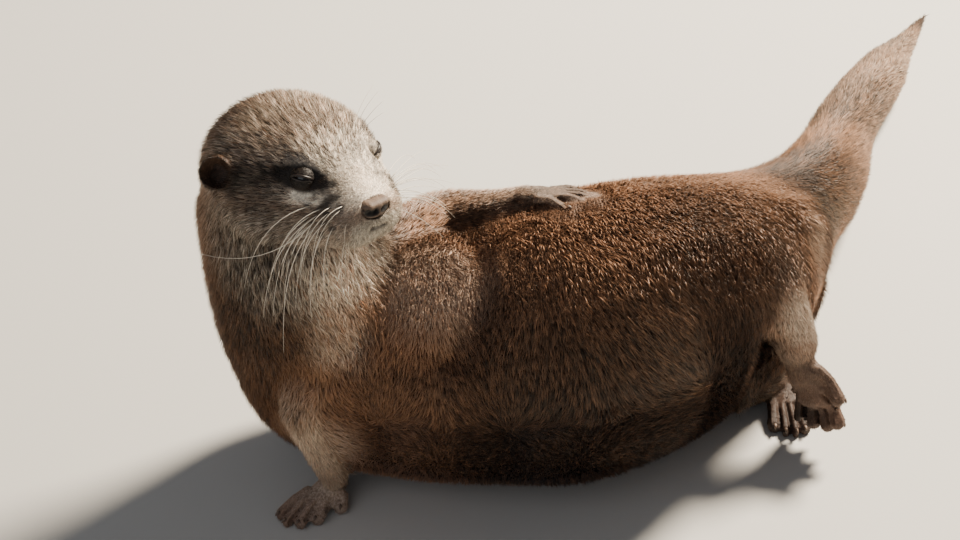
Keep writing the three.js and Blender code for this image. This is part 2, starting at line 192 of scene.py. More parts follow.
def from_head(points):
    return np.asarray(points, float) @ HEAD_TURN.T + HEAD_AT


def middle_of(name):
    low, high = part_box(name)
    return np.array((low + high) / 2) / MM


EYES = {"left": middle_of("eye_left"), "right": middle_of("eye_right")}
EYE_RADIUS = 5.0
EARS = {"left": middle_of("ear_left"), "right": middle_of("ear_right")}
MIRRORED = (("right", -1), ("left", 1))
NOSE = middle_of("nose")
NOSE_TIP = np.array((60.0, 0.0, -1.0))

# Each line follows the lie of the coat down one part of the body. A station is a point of it, the part's
# radius there, the depth of the coat, the length of its tufts, and how bare and how pale it is from 0 to 1.
# On the back there follow how strongly the fur also turns towards the belly, and the way the belly's middle
# faces, in degrees.
STATION_NUMBERS = 10
BODY_LINES = {
    "back": (
        (-104, -6, 60, 49, 2.4, 6.4, 0, 0, 1.0, -118),
        (-74, -6, 61, 60, 2.6, 6.8, 0, 0, 2.6, -122),
        (-38, -6, 63, 62, 2.7, 7.0, 0, 0, 4.2, -92),
        (38, 19, 67, 67, 2.9, 7.4, 0, 0, 4.4, -78),
        (99, 88, 50, 45, 2.8, 7.4, 0, 0, 1.8, -63),
        (143, 168, 32, 27, 2.9, 7.2, 0, 0, 0.6, -50),
        (184, 276, 17, 19, 2.6, 6.4, 0, 0.15, 0.2, -50),
        (222, 353, 9, 9, 2.0, 6.0, 0, 0.2, 0, -50),
        (243, 397, 4, 3, 0.8, 5.2, 0, 0, 0, -50),
    ),
    "neck": (
        (-133, 3, 158, 40, 2.2, 6.0, 0, 0),
        (-128, -6, 124, 42, 2.5, 7.0, 0, 0),
        (-120, -8, 95, 45, 2.6, 7.4, 0, 0),
        (-108, -7, 66, 48, 2.6, 7.2, 0, 0),
    ),
    "fore_right": (
        (-110, -20, 90, 20, 2.6, 7.2, 0, 0),
        (-119, -38, 79, 16, 2.4, 7.0, 0, 0.05),
        (-125, -50, 70, 10.5, 2.0, 6.4, 0, 0.2),
        (-122, -50, 53, 9, 1.7, 5.8, 0, 0.45),
        (-115.8, -47, 35, 8.5, 1.2, 4.4, 0.05, 0.4),
        (-109.5, -44.5, 17, 8, 0.7, 3.0, 0.25, 0.3),
        # The right hand's paleness here is painted light.
        (-113, -53, 8, 9, 0.4, 1.9, 0.6, 0.35),
        (-121, -66, 4, 9, 0.3, 1.5, 0.8, 0.35),
    ),
    "fore_left": (
        (-92, 8, 100, 20, 2.4, 6.6, 0, 0),
        (-76, 24, 112, 16, 2.0, 5.8, 0, 0),
        (-60, 36, 118, 12, 1.5, 5.0, 0, 0.06),
        (-46, 35, 121, 10, 1.2, 4.4, 0, 0.1),
        (-31, 32, 126.3, 7.5, 1.0, 3.8, 0, 0.15),
        (-18, 31, 130.6, 6.5, 0.7, 2.8, 0.1, 0.22),
        (-2, 29.5, 131.6, 8, 0.4, 1.8, 0.4, 0.28),
        (14, 29, 130.6, 8, 0.3, 1.4, 0.7, 0.3),
    ),
    "hind_left": (
        (97, 50, 96, 20, 2.2, 6.2, 0, 0),
        (103, 32, 87, 18, 1.9, 5.6, 0, 0.06),
        (109, 14, 75, 15, 1.4, 4.8, 0.05, 0.16),
        (117, 3, 58, 12, 0.8, 3.4, 0.35, 0.2),
        (125, -1, 38, 9, 0.4, 2.0, 0.8, 0.15),
        (131, -4, 22, 9, 0.3, 1.5, 1, 0.1),
    ),
    "hind_right": (
        (126, 80, 44, 19, 2.4, 6.6, 0, 0),
        (107, 50, 34, 22, 2.4, 6.4, 0, 0),
        (88, 22, 24, 17, 1.8, 5.2, 0, 0),
        (98, 28, 15, 12, 1.2, 4.2, 0, 0.05),
        (110, 36, 12, 10, 0.8, 3.4, 0.1, 0.1),
        (118, 26, 7, 9, 0.4, 1.8, 0.9, 0),
        (120, 8, 5, 9, 0.3, 1.5, 1, 0),
    ),
}
# The stretches at the end of a leg's line that belong to its paw.
PAW_STRETCHES = 2
# How fast one part's say fades beside another's.
BLEND_POWER = 13
HEAD_HALF = np.array((51.0, 38.0, 33.0))

# The paws, as the solids have them: middle of the palm, the ways the toes and the back of the paw look,
# the palm's length and width, each toe's angle and length, the toes' radius, and how far they drop.
PAWS = {
    "fore_right": dict(
        at=(-114, -44.5, 8), toes_way=(-0.55, -0.83, -0.06), back_way=(0, 0, 1), left=False,
        palm=(20, 18), toes=((-14, 20), (-8, 22), (0, 19), (9, 12), (32, 7)), radius=4.0, drop=4.0,
    ),
    "fore_left": dict(
        at=(-9, 30, 132), toes_way=(1, -0.03, 0), back_way=(0, 0.35, 1), left=True,
        palm=(20, 18), toes=((-18, 19), (-8, 23), (1, 24), (9, 21), (28, 17)), radius=4.0, drop=4.0,
    ),
    "hind_left": dict(
        at=(122.5, 1, 43), toes_way=(0.46, -0.2, -0.86), back_way=(0.62, 0.7, 0.15), left=True,
        palm=(36, 25), toes=((-22, 20), (-10, 24), (1, 25), (10, 23), (24, 21)), radius=4.2, drop=3.0,
    ),
    "hind_right": dict(
        at=(117.5, 33.5, 6.2), toes_way=(0.1, -0.98, -0.03), back_way=(0, 0, 1), left=False,
        palm=(34, 19), toes=((-7.7, 20), (-3.5, 24), (0.35, 25), (3.5, 23), (8.4, 21)), radius=4.2, drop=3.0,
    ),
}
TOE_ARCH = 1.5


def smooth(value, low, high):
    share = np.clip((value - low) / (high - low), 0, 1)
    return share * share * (3 - 2 * share)


def unit(vectors):
    return vectors / np.maximum(np.linalg.norm(vectors, axis=-1, keepdims=True), 1e-9)


def size_of(vectors):
    return np.linalg.norm(vectors, axis=-1)


def fading(points, place, inner, outer):
    """1 within the inner distance of a place, falling to 0 at the outer one."""
    return 1 - smooth(size_of(points - place), inner, outer)


def mound(away, reach):
    """1 at no distance, falling softly to nothing past this reach."""
    return np.exp(-((away / reach) ** 2))


def scattered(key, stretch=43758.5453):
    """Values from -1 to 1 that look random, the same for the same key."""
    return np.modf(np.sin(key) * stretch)[0]


def lumps(points, size, seed=0):
    """Smooth random values from -1 to 1, in lumps of about this size."""
    grid = points / size
    corner_at = np.floor(grid)
    inside = grid - corner_at
    inside = inside * inside * (3 - 2 * inside)
    total = np.zeros(len(points))
    for corner in itertools.product((0, 1), repeat=3):
        key = (corner_at + corner) @ np.array((127.1, 311.7, 74.7)) + seed * 17.23
        total += scattered(key) * np.prod(np.where(corner, inside, 1 - inside), axis=1)
    return total


def near_path(points, path):
    """Distance from each point to a path of straight stretches."""
    nearest = np.full(len(points), 1e9)
    for start, end in zip(path, path[1:]):
        start, along = np.array(start, float), np.array(end, float) - np.array(start, float)
        share = np.clip((points - start) @ along / (along @ along), 0, 1)
        nearest = np.minimum(nearest, size_of(points - start - share[:, None] * along))
    return nearest


def strongest(points, table):
    """The greatest amount that a table's places, reaches and amounts give each point."""
    share = np.zeros(len(points))
    for place, reach, amount in table:
        share = np.maximum(share, amount * fading(points - SHIFT, place, 0.4 * reach, reach))
    return share


def paw_frame(name):
    """Columns: the way the toes look, across the paw towards the inner toe, and out of its back."""
    paw = PAWS[name]
    forward = unit(np.array(paw["toes_way"], float))
    side = unit(np.cross(np.array(paw["back_way"], float), forward))
    return np.stack((forward, -side if paw["left"] else side, np.cross(forward, side)), axis=1)


def to_paw(points, name):
    return (points - np.array(PAWS[name]["at"]) - SHIFT) @ paw_frame(name)


def from_paw(points, name):
    return np.asarray(points, float) @ paw_frame(name).T + np.array(PAWS[name]["at"]) + SHIFT


def toe_paths(name):
    """Root, middle and tip of each toe, in the paw's own frame. The last toe is the inner one."""
    paw = PAWS[name]
    last = len(paw["toes"]) - 1
    paths = []
    for number, (angle, length) in enumerate(paw["toes"]):
        way = np.array((math.cos(math.radians(angle)), math.sin(math.radians(angle)), 0))
        front = paw["palm"][0] / 2 * (-0.3 if number == last else 0.4)
        across = (number / last - 0.5) * paw["palm"][1] * 0.76
        root = np.array((front, across, -paw["drop"] * 0.3))
        middle = root + way * length * 0.5 + (0, 0, TOE_ARCH - paw["drop"] * 0.2)
        tip = root + way * length * 0.88 + (0, 0, -paw["drop"] * 0.6)
        paths.append(np.array((root, middle, tip)))
    return paths


def lie_of_coat(points, on_paw):
    """At each point: the way the fur lies, its depth, the tufts' length, and how bare and pale it is."""
    flow = np.zeros_like(points)
    amounts = np.zeros((len(points), 4))
    total = np.zeros(len(points))
    for line, stations in BODY_LINES.items():
        table = np.array(stations, float)
        table = np.pad(table, ((0, 0), (0, STATION_NUMBERS - table.shape[1])))
        for number, (start, end) in enumerate(zip(table, table[1:])):
            at = start[:3] + SHIFT
            along = end[:3] - start[:3]
            share = np.clip((points - at) @ along / (along @ along), 0, 1)
            outward = points - at - share[:, None] * along
            here = start + (end - start) * share[:, None]
            weight = (size_of(outward) / here[:, 3] + 0.12) ** -BLEND_POWER
            paw_stretch = line in PAWS and number >= len(table) - 1 - PAW_STRETCHES
            weight *= on_paw + 0.002 if paw_stretch else 1.002 - on_paw
            outward = unit(outward)
            turn = np.radians(here[:, 9])
            belly_way = unit(np.stack((np.cos(turn), np.sin(turn), 0.12 + 0 * turn), axis=1))
            to_belly = belly_way - outward * (outward * belly_way).sum(axis=1, keepdims=True)
            flow += weight[:, None] * unit(unit(along) + here[:, 8:9] * to_belly)
            amounts += weight[:, None] * here[:, 4:8]
            total += weight
    # On the head the fur lies away from the nose, and is longer the farther it is from it.
    head = to_head(points)
    away = size_of((head - (9, 0, -3)) / HEAD_HALF)
    weight = (away + 0.12) ** -BLEND_POWER * (1.002 - on_paw)
    flow += weight[:, None] * unit(points - from_head(NOSE_TIP))
    face = smooth(size_of(head - NOSE_TIP), 4, 62)
    amounts[:, 0] += weight * (0.3 + 2.1 * face)
    amounts[:, 1] += weight * (1.4 + 5.2 * face)
    total += weight
    amounts /= total[:, None]
    for place in EARS.values():
        amounts += fading(points, place, 8.5, 11)[:, None] * ((0.4, 2.2, 0, 0) - amounts)
    # The fur is cropped beside the toes, so that they stand clear of it.
    for name in PAWS:
        local = to_paw(points, name)
        for toe in toe_paths(name):
            share = 0.6 * (1 - smooth(near_path(local, toe), 4.5, 11))
            amounts[:, :2] -= share[:, None] * np.maximum(amounts[:, :2] - (0.3, 1.6), 0)
    return unit(flow), *amounts.T


# ---- meshes and their points


def select_only(piece):
    bpy.ops.object.select_all(action="DESELECT")
    piece.select_set(True)
    bpy.context.view_layer.objects.active = piece


def read(items, name, width, kind=np.float32):
    """A value of each of a mesh's points, faces or corners, as rows of this width."""
    flat = np.empty(len(items) * width, kind)
    items.foreach_get(name, flat)
    return flat.reshape(-1, width)


def points_of(piece):
    return read(piece.data.vertices, "co", 3).astype(float) / MM


def normals_of(piece):
    return read(piece.data.vertex_normals, "vector", 3).astype(float)


def face_centres(piece):
    return read(piece.data.polygons, "center", 3).astype(float) / MM


def set_points(piece, points):
    piece.data.vertices.foreach_set("co", (points * MM).astype(np.float32).ravel())
    piece.data.update()


def new_piece(name, points, faces):
    """A piece from arrays of points, in millimetres, and of three-sided faces."""
    mesh = bpy.data.meshes.new(name)
    mesh.vertices.add(len(points))
    mesh.vertices.foreach_set("co", (points * MM).astype(np.float32).ravel())
    mesh.loops.add(faces.size)
    mesh.loops.foreach_set("vertex_index", faces.ravel().astype(np.int32))
    mesh.polygons.add(len(faces))
    mesh.polygons.foreach_set("loop_start", np.arange(0, faces.size, 3, dtype=np.int32))
    mesh.update(calc_edges=True)
    piece = bpy.data.objects.new(name, mesh)
    bpy.context.scene.collection.objects.link(piece)
    return piece


def set_attribute(piece, name, values):
    layer = piece.data.attributes.new(name, "FLOAT", "POINT")
    layer.data.foreach_set("value", values.astype(np.float32))


def settle(piece, material, slot, *replaced):
    """Gives a finished piece its material, its body and the solids that it stands for. The slot is not used.
    """
    piece.data.materials.clear()
    piece.data.materials.append(material)
    select_only(piece)
    bpy.ops.object.shade_smooth()
    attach(piece, "root")
    if replaced:
        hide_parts(*replaced)


def apply_modifier(piece, kind, **settings):
    select_only(piece)
    modifier = piece.modifiers.new(kind.lower(), kind)
    for name, value in settings.items():
        setattr(modifier, name, value)
    bpy.ops.object.modifier_apply(modifier=modifier.name)


def vertex_group(piece, name, weights):
    """Stores a weight for each point, rounded to tenths."""
    group = piece.vertex_groups.new(name=name)
    steps = np.round(np.clip(weights, 0, 1) * 10).astype(int)
    for step in range(1, 11):
        group.add(np.nonzero(steps == step)[0].tolist(), step / 10, "REPLACE")


# ---- skin

FLESH = [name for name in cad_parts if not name.startswith("eye_") and name != "nose"]
# The solids swell by this much before they are joined, and the skin sinks by it again.
SWELL = 0.45
VOXEL = 1.1
# Place and reach of the nape and the back of the shoulder, which run on without a crease.
SMOOTHED = (((-152, 24, 146), 58), ((-98, 40, 74), 46))
# The same for ankles and wrists, which are eased only a little.
EASED = (((118, 3, 55), 17), ((-109.5, -44, 16), 12), ((-19, 31, 130), 12), ((113, 36, 11), 12))

# The eyeballs are in the skin's first shape, so that lids can close over them.
copies = []
for name in FLESH + ["eye_left", "eye_right"]:
    copy = bpy.data.objects.new("flesh_copy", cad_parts[name].data.copy())
    bpy.context.scene.collection.objects.link(copy)
    copies.append(copy)
bpy.ops.object.select_all(action="DESELECT")
for copy in copies:
    copy.select_set(True)
skin = copies[0]
bpy.context.view_layer.objects.active = skin
bpy.ops.object.join()
skin.name = "skin"
bpy.ops.object.mode_set(mode="EDIT")
bpy.ops.mesh.select_all(action="SELECT")
bpy.ops.mesh.remove_doubles(threshold=0.01 * MM)
bpy.ops.transform.shrink_fatten(value=SWELL * MM)
bpy.ops.object.mode_set(mode="OBJECT")
skin.data.remesh_voxel_size = VOXEL * MM
bpy.ops.object.voxel_remesh()


def detail_share(points):
    """1 on the face, ears and paws, where the skin keeps its fine mesh, and 0 on the body."""
    share = 1 - smooth(size_of((to_head(points) - (22, 0, -3)) / (44, 40, 34)), 0.85, 1.25)
    for place in EARS.values():
        share = np.maximum(share, fading(points, place, 13, 18))
    for name, paw in PAWS.items():
        reach = paw["palm"][0] / 2 + 14
        middle = (paw["palm"][0] * 0.45, 0, 0)
        share = np.maximum(share, fading(to_paw(points, name), middle, reach, reach + 8))
    return share


# The solids are facetted: broad parts are smoothed hard, the face and the toes only lightly.
vertex_group(skin, "body", 1 - detail_share(points_of(skin)))
apply_modifier(skin, "SMOOTH", factor=0.5, iterations=80, vertex_group="body")
points = points_of(skin)
creased = np.zeros(len(points))
for place, reach in SMOOTHED:
    creased = np.maximum(creased, fading(points - SHIFT, place, 0.6 * reach, reach))
for place in EARS.values():
    creased *= smooth(size_of(points - place), 12, 20)
for place, reach in EASED:
    creased = np.maximum(creased, 0.1 * fading(points - SHIFT, place, 0.6 * reach, reach))
vertex_group(skin, "creased", creased)
apply_modifier(skin, "SMOOTH", factor=0.5, iterations=260, vertex_group="creased")
apply_modifier(skin, "SMOOTH", factor=0.5, iterations=3)
vertex_group(skin, "thin_out", 1 - detail_share(points_of(skin)))
thinning = {"vertex_group": "thin_out", "vertex_group_factor": 10.0}
apply_modifier(skin, "DECIMATE", ratio=0.2, use_collapse_triangulate=True, **thinning)

# ---- the head's features


def mouth_path(side):
    """From the middle of the lip to the corner of the mouth, in the head's frame."""
    return (
        (63, 0, -11.5), (59, 7 * side, -11.2), (51, 14 * side, -11.0), (42, 20 * side, -11.4),
        (35, 24.5 * side, -10.8),
    )


def under_eye(head, side, height):
    """1 on the patch below an eye, by points in the head's frame."""
    return 1 - smooth(near_path(head, ((35, 22 * side, 3.5), (43, 18 * side, height))), 3, 6)


def past_nose_pad(head, half_sides):
    """Below 1 inside a rounded box about the nose pad's place, in the head's frame."""
    return (np.abs((head - (61, 0, -2.0)) / half_sides) ** 2.4).sum(axis=1)


# The way each ear opens, in the head's frame.
EAR_WAYS = {"right": np.array((0.6, -0.68, 0.42)), "left": np.array((0.35, 0.9, 0.15))}


def ear_parts(points, name):
    """1 inside an ear's cup, on its rim, and in the hollow before and below it, where painted shade goes."""
    way = HEAD_TURN @ unit(EAR_WAYS[name])
    away = points - EARS[name]
    ahead = away @ way
    sideways = size_of(away - ahead[:, None] * way)
    # The cup is deepest near its front and runs out into the cheek there.
    forward = away @ (HEAD_TURN @ unit(np.array((0.75, 0.0, -0.5))))
    inner = (1 - smooth(sideways - 3.6 * smooth(forward, 0, 7), 3.4, 6.8)) * smooth(ahead, -3, 0)
    rim = smooth(sideways, 6.2, 7.6) * (1 - smooth(sideways, 9.2, 10.5)) * smooth(ahead, -1.5, 0.5)
    # The rim shows at the ear's back, and the rest is lost in the fur.
    rim *= smooth(away @ (HEAD_TURN @ unit(np.array((-0.95, 0.0, -0.15)))), 0, 6)
    side = dict(MIRRORED)[name]
    spot = from_head(to_head(EARS[name]) + (9, -3 * side, -6))
    return inner, rim, fading(points, spot, 3, 8)


# Place in the head's frame, reach and height of each rise or hollow. Y is for the otter's left.
FACE_FORMS = (
    ((51, 10.5, -10), 9.5, 1.9),  # whisker pad
    ((41, 16.5, -12), 9, 0.9),  # back of the whisker pad
    ((35, 16.5, 18.5), 7.5, 1.7),  # brow
    ((43, 17, 3), 6.5, -0.9),  # hollow before the eye
    ((26, 25, 6), 7, -0.8),  # hollow behind the eye
    ((16, 31, -13), 15, 1.4),  # cheek
    ((49, 4, -22), 9, 1.3),  # chin
)


class Socket:
    """One eye's place, the way it looks, and the almond opening of its lids."""

    HALF_WIDTH = 60.0

    def __init__(self, name, side, upper, lower, surround):
        self.centre = EYES[name]
        self.upper = upper
        self.lower = lower
        self.surround = surround
        self.gaze = HEAD_TURN @ unit(np.array((0.62, 0.68 * side, 0.40)))
        forward, crown = HEAD_TURN[:, 0], HEAD_TURN[:, 2]
        across = unit(np.cross(crown, self.gaze))
        # The inner corner, by the nose, sits lower than the outer one.
        self.across = unit(across * np.sign(across @ forward) - 0.22 * crown)
        up = unit(np.cross(self.gaze, self.across))
        self.up = up * np.sign(up @ crown)

    def lid_heights(self, angle):
        """Height in degrees of the upper and the lower lid, at an angle along the opening."""
        share = np.clip(1 - (angle / self.HALF_WIDTH) ** 2, 0, 1)
        return self.upper * share**0.75, -self.lower * share**0.9

    def place(self, angle, height, radius):
        """A point by its angles along and up the opening, in degrees, and its distance from the middle."""
        angle, height = np.radians(angle), np.radians(height)
        flat = np.cos(height)[..., None] * (
            np.cos(angle)[..., None] * self.gaze + np.sin(angle)[..., None] * self.across
        )
        return self.centre + radius * (flat + np.sin(height)[..., None] * self.up)

    def outside(self, points):
        """Degrees by which a point is outside the opening, below 0 where it is inside, and its distance."""
        away = points - self.centre
        ahead, along = away @ self.gaze, away @ self.across
        angle = np.degrees(np.arctan2(along, ahead))
        height = np.degrees(np.arctan2(away @ self.up, np.hypot(ahead, along)))
        top, bottom = self.lid_heights(angle)
        beyond = np.maximum(height - top, bottom - height)
        return np.maximum(beyond, np.abs(angle) - self.HALF_WIDTH), size_of(away)


# Each lid's height in degrees, and half the width and height of the dark surround: dark fur, darkened
# further as painted shade in the socket under the brow.
SOCKETS = (Socket("right", -1, 12, 9, (15.0, 6.2)), Socket("left", 1, 3.5, 3.5, (6.0, 2.2)))
LID_RADIUS = 5.75


def refine_faces(piece, chosen):
    """Splits the chosen faces into four."""
    select_only(piece)
    bpy.ops.object.mode_set(mode="EDIT")
    bpy.ops.mesh.select_mode(type="FACE")
    bpy.ops.mesh.select_all(action="DESELECT")
    bpy.ops.object.mode_set(mode="OBJECT")
    piece.data.polygons.foreach_set("select", chosen)
    bpy.ops.object.mode_set(mode="EDIT")
    bpy.ops.mesh.subdivide(number_cuts=1)
    bpy.ops.mesh.quads_convert_to_tris()
    bpy.ops.object.mode_set(mode="OBJECT")


def tree_of(names):
    corners, faces = [], []
    for name in names:
        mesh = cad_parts[name].data
        base = len(corners)
        corners += [vertex.co / MM for vertex in mesh.vertices]
        faces += [[base + corner for corner in face.vertices] for face in mesh.polygons]
    return BVHTree.FromPolygons(corners, faces)


def paw_share(points):
    """1 on the paws and 0 elsewhere, by which solid is nearest."""
    paw_names = [f"{name}_paw" for name in PAWS]
    paws, others = tree_of(paw_names), tree_of([name for name in FLESH if name not in paw_names])
    share = np.zeros(len(points))
    close = np.zeros(len(points), bool)
    for name, paw in PAWS.items():
        close |= size_of(to_paw(points, name)) < paw["palm"][0] / 2 + 32
    for index in np.nonzero(close)[0]:
        share[index] = others.find_nearest(points[index])[3] - paws.find_nearest(points[index])[3]
    return np.where(close, smooth(share, -0.8, 1.2), 0)


# The faces by the eyes are split twice, and those of the muzzle and the paws once.
for reach in (8.6, 8.0):
    centres = face_centres(skin)
    refine_faces(skin, np.min([size_of(centres - socket.centre) for socket in SOCKETS], axis=0) < reach)
refine_faces(skin, size_of(face_centres(skin) - from_head((56, 0, -8))) < 17)
refine_faces(skin, paw_share(face_centres(skin)) > 0.5)
points = points_of(skin)
normals = normals_of(skin)
on_paw = paw_share(points)

# The skin drops below the solids by the depth of the coat.
depth = lie_of_coat(points, on_paw)[1]
points -= normals * (depth + SWELL)[:, None]

# Place along and across the palm, as shares of its sides, and reach of each pad.
PALM_PADS = ((0.30, 0.26, 4.2), (0.34, 0, 4.0), (0.30, -0.26, 4.2), (-0.08, 0.2, 4.6), (-0.08, -0.2, 4.6))

# Clefts between the toes and pads under them.
for name, paw in PAWS.items():
    local = to_paw(points, name)
    here = on_paw * (size_of(local) < 60)
    toes = toe_paths(name)
    for one, other in zip(toes, toes[1:]):
        cleft = (one + other) / 2
        cleft[2] += (cleft[2] - cleft[1]) * 0.45
        flat = cleft * (1, 1, 0)
        away = near_path(local * (1, 1, 0), flat)
        start = flat[0] + 0.25 * (flat[2] - flat[0])
        along = (local[:, :2] - start[:2]) @ unit(flat[2] - flat[0])[:2]
        points -= normals * (2.2 * here * smooth(along, -2.0, 6.0) * mound(away, 0.95))[:, None]
    sole = here * smooth(-(normals @ paw_frame(name))[:, 2], 0.1, 0.7)
    length, width = paw["palm"]
    pads = [((x * length, y * width), reach, 1.1) for x, y, reach in PALM_PADS]
    for place, reach, height in pads + [(toe[2][:2], 2.8, 0.8) for toe in toes]:
        points += normals * (height * sole * mound(size_of(local[:, :2] - place), reach))[:, None]

# The breast stands a little before the crease between it and the belly.
BREAST_CREASE = ((-44.7, 12, 122), (-39.5, -14, 126), (-40, -30, 121), (-46, -46, 110), (-53, -55, 99))
BREAST_RIDGE = ((-63, 18, 120), (-60, -17, 123), (-64.5, -37, 115))
rise = -6.0 * mound(near_path(points - SHIFT, BREAST_CREASE), 7.5)
rise += 1.6 * mound(near_path(points - SHIFT, BREAST_RIDGE), 12)
points += normals * rise[:, None]

head = to_head(points)
rise = np.zeros(len(points))
for name, side in MIRRORED:
    for (x, y, z), reach, height in FACE_FORMS:
        rise += height * mound(size_of(head - (x, y * side, z)), 0.6 * reach)
    rise -= 1.5 * mound(near_path(head, mouth_path(side)), 0.95)
rise -= 0.7 * mound(near_path(head, ((66, 0, -6), (63, 0, -12))), 0.8)
# The skin sinks behind the nose pad.
rise -= 1.5 * (1 - smooth(past_nose_pad(head, (6.5, 7.6, 4.0)), 0.5, 1.0))
points += normals * rise[:, None]
for name in EARS:
    points -= 3.8 * ear_parts(points, name)[0][:, None] * (HEAD_TURN @ unit(EAR_WAYS[name]))

# Lids: the skin rises over each eyeball and opens along the almond.
for socket in SOCKETS:
    beyond, radius = socket.outside(points)
    ahead = (points - socket.centre) @ socket.gaze
    closeness = (1 - smooth(radius, 6.0, 9.5)) * smooth(ahead, -1.5, 1.0)
    target = np.where(beyond > 0, LID_RADIUS + 0.25 * np.exp(-beyond / 9), 3.6)
    wanted = np.where(beyond > 0, np.maximum(radius, target), target)
    new_radius = radius + (wanted - radius) * np.where(beyond > 0, closeness**0.5, closeness > 0.3)
    points = socket.centre + unit(points - socket.centre) * new_radius[:, None]
points[:, 2] = np.maximum(points[:, 2], 0.35)
set_points(skin, points)

select_only(skin)
skin.data.uv_layers.new(name="OFBake")
bpy.ops.object.mode_set(mode="EDIT")
bpy.ops.mesh.select_all(action="SELECT")
bpy.ops.uv.smart_project(angle_limit=math.radians(70), island_margin=0.0)
bpy.ops.object.mode_set(mode="OBJECT")
skin.vertex_groups.clear()

# ---- markings

# Place, reach and strength of the lighter and the darker parts of the coat, most of them painted light and
# shade.
TONE_AND_PAINTED_LIGHT = (
    # Painted light: the breast, the flank, the throat and the ridge from it down to the right arm are
    # lighter where light falls on them.
    ((-58, -12, 122), 36, 1.15),  # breast
    ((-66, -36, 113), 32, 1.15),
    ((0, 8, 134), 62, 0.4),  # flank
    ((-97, -34, 134), 30, 1.1),  # throat
    ((-106, -46, 108), 24, 0.6),  # from the throat down to the right arm
    ((-118, -46, 80), 26, 0.6),
    # Painted shade on the right side of the neck.
    ((-140, -44, 124), 48, -0.4),  # right side of the neck
    ((-150, -40, 88), 50, -0.25),
    ((130, 108, 78), 50, -0.35),  # rump and root of the tail
    ((143, 150, 62), 74, -0.6),
    ((184, 250, 40), 60, -0.4),
    # Painted light on the end of the rump, both shanks and the right hand, and painted shade on the right
    # hind foot.
    ((133, 68, 84), 24, 0.35),  # end of the rump
    ((121, 3, 79), 26, 1.5),  # hind shank
    ((-118, -49, 42), 34, 1.5),  # fore shank
    ((-117, -58, 6), 28, 1.9),  # right hand
    ((118, 12, 8), 36, -0.45),  # right hind foot
    ((-96, 6, 118), 36, -0.3),  # left shoulder
    ((-4, 32, 133), 26, -0.6),  # left hand
)
# Place, reach and share of the parts whose brown is paled as painted light, where light falls on them.
PAINTED_LIGHT_PALE = (
    ((-60, -20, 120), 38, 0.18),
    ((133, 68, 84), 22, 0.15),
    ((-117, -58, 6), 26, 0.55),
    ((121, 3, 79), 22, 0.45),
    ((-118, -49, 42), 30, 0.2),
    ((-106, -46, 108), 22, 0.25),
)
TAIL_TIP = np.array((243, 397, 4))
WHISKER_ROWS, WHISKER_COLUMNS = 4, 5


def whisker_root(row, column, side):
    """Where a whisker leaves the pad, in the head's frame."""
    return np.array((55 - 3.4 * column - 0.6 * row, side * (9.0 + 2.1 * column), -2.0 - 2.3 * row))


def on_skin(spot):
    """The skin's point nearest to a spot, both in the head's frame."""
    return to_head(skin_points[size_of(skin_points - from_head(spot)).argmin()])


def markings(points):
    """How pale and how dark the coat is at each point, from 0 to 1."""
    head = to_head(points)
    x, y, z = head.T
    wobble = 2.5 * lumps(points, 11, 3)
    away = size_of(head - (10, 0, -4)) + 2 * wobble
    pale = 0.52 * smooth(-z + wobble, -9, 12) * (1 - smooth(away, 50, 70)) * smooth(x, -32, 6)
    # The crown and the bridge of the muzzle are frosted with pale tips, made paler still as painted light
    # from above.
    frost = 0.36 + 0.34 * smooth(x + wobble, 18, 46)
    pale = np.maximum(pale, frost * smooth(z, -8, 4) * smooth(x, -30, -5))
    to_lip = size_of(head - (57, 0, -12))
    pale = np.maximum(pale, smooth(-z, 3, 9) * (1 - smooth(to_lip + wobble, 10, 19)))
    dark = np.zeros(len(points))
    for name, side in MIRRORED:
        # The patch under each eye is pale fur, made paler still as painted light.
        pale = np.maximum(pale, under_eye(head, side, 4))
        # The back of the whisker pad is mottled.
        pad = 1 - smooth(size_of((head - (47.5, 15 * side, 3)) / (8, 8, 12)), 0.6, 1.1)
        dark = np.maximum(dark, 0.85 * pad * smooth(lumps(points, 2.6, 6), -0.35, 0.3))
        for row, column in itertools.product(range(WHISKER_ROWS), range(WHISKER_COLUMNS)):
            spot = on_skin(whisker_root(row, column, side))
            dark = np.maximum(dark, 0.85 * fading(head, spot, 0.8, 2.0))
    # Round each eye the fur is dark, and darker still as painted shade under the brow.
    for socket in SOCKETS:
        away = points - socket.centre
        wide, tall = socket.surround
        ring = np.abs((away @ socket.across + 0.8) / wide) ** 1.5 + np.abs(away @ socket.up / tall) ** 1.5
        ring = ring ** (1 / 1.5) + np.maximum(0, -(away @ socket.gaze)) / 8
        dark = np.maximum(dark, 1 - smooth(ring + 0.03 * wobble, 0.8, 1.2))
    for name, side in MIRRORED:
        # A band from each eye to its ear is darker fur, deepened as painted shade where the head turns down
        # under the brow.
        band = near_path(head, ((30, 20 * side, 9), (12, 33 * side, 8), (1, 38 * side, 8)))
        dark = np.maximum(dark, 0.6 * (1 - smooth(band, 2.5, 8)))
        dark = np.maximum(dark, 0.7 * (1 - smooth(near_path(head, mouth_path(side)), 0.6, 1.7)))
        # Each ear is dark. Its cup is darker still as painted shade, and so is the hollow before and below
        # it.
        inner, rim, hollow = ear_parts(points, name)
        whole = fading(points, EARS[name], 8.5, 11)
        pale = np.maximum(pale * (1 - whole), 0.22 * rim)
        dark = np.maximum(dark, 0.66 * whole) * (1 - 0.6 * rim)
        dark = np.maximum(dark, np.maximum(0.86 * inner, 0.8 * hollow))
    # Painted light: the coat is paled where light falls on it.
    pale = np.maximum(pale, strongest(points, PAINTED_LIGHT_PALE))
    # The tail's tip is darkened as painted shade.
    return pale, np.maximum(dark, 0.8 * fading(points, TAIL_TIP + SHIFT, 14, 34))


